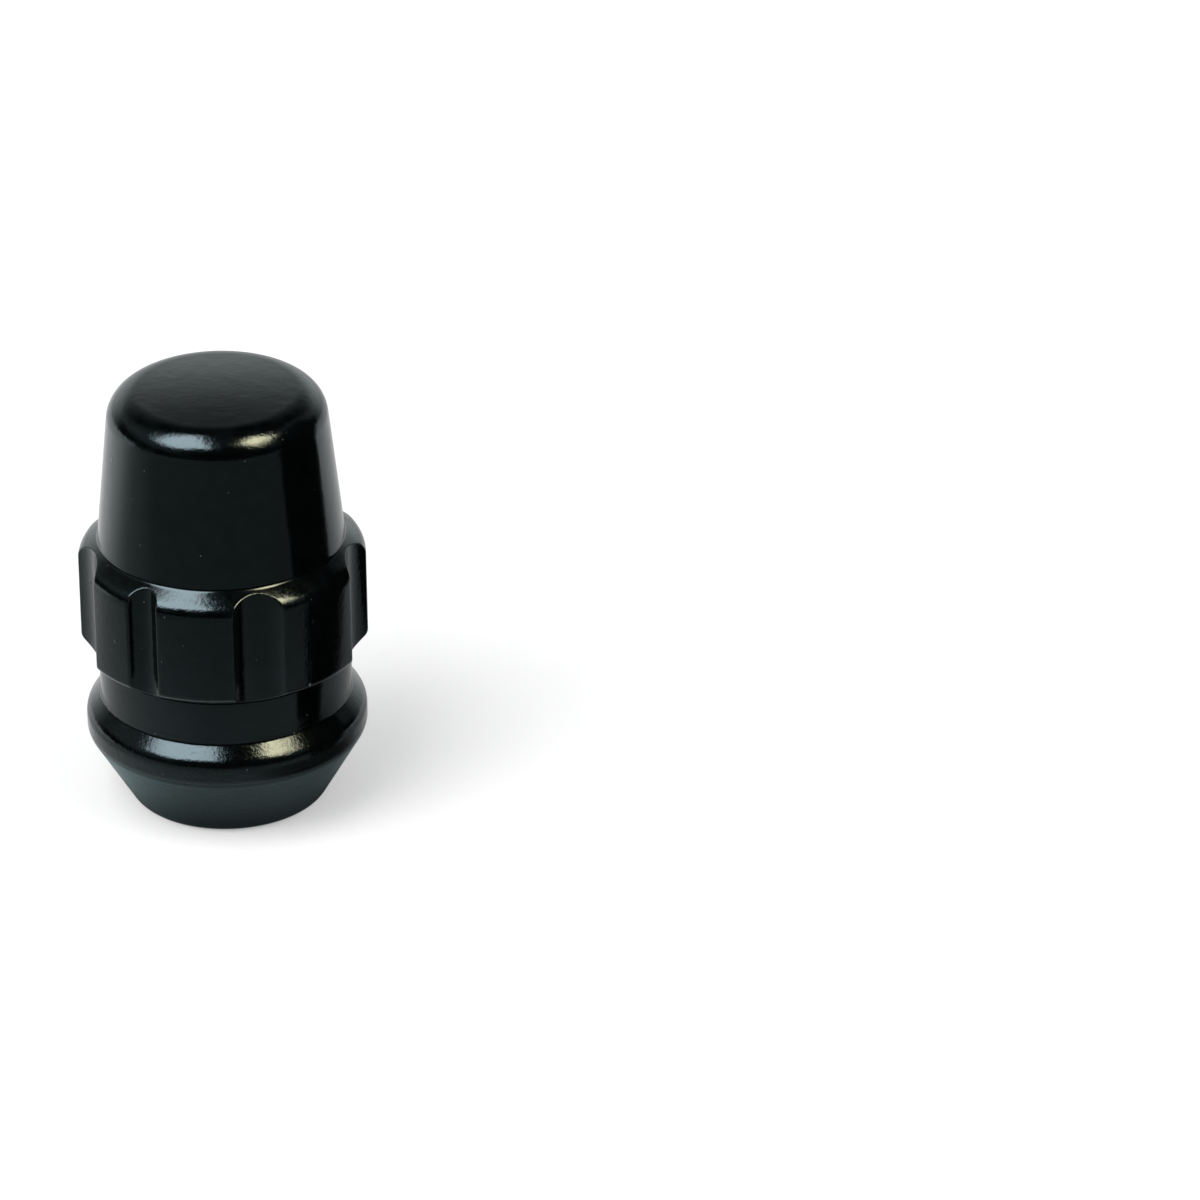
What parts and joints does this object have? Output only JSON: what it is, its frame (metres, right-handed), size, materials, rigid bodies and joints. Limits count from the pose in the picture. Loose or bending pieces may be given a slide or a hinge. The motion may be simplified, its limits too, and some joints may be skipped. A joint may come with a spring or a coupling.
{
  "type": "locking wheel nut",
  "caption": "Closed locking wheel nut with a conical seat, a collar of coded round grooves and a domed crown over a blind threaded bore.",
  "frame": {"origin": "centre of the end face, where the thread opens", "axes": "+Z along the thread axis towards the closed crown, -Y the front that the picture shows"},
  "size_m": [0.0224, 0.0224, 0.035],
  "materials": {
    "black_coating": "gloss black coating on steel"
  },
  "bodies": {
    "root": {"nut_body": "black_coating"}
  },
  "joints": []
}
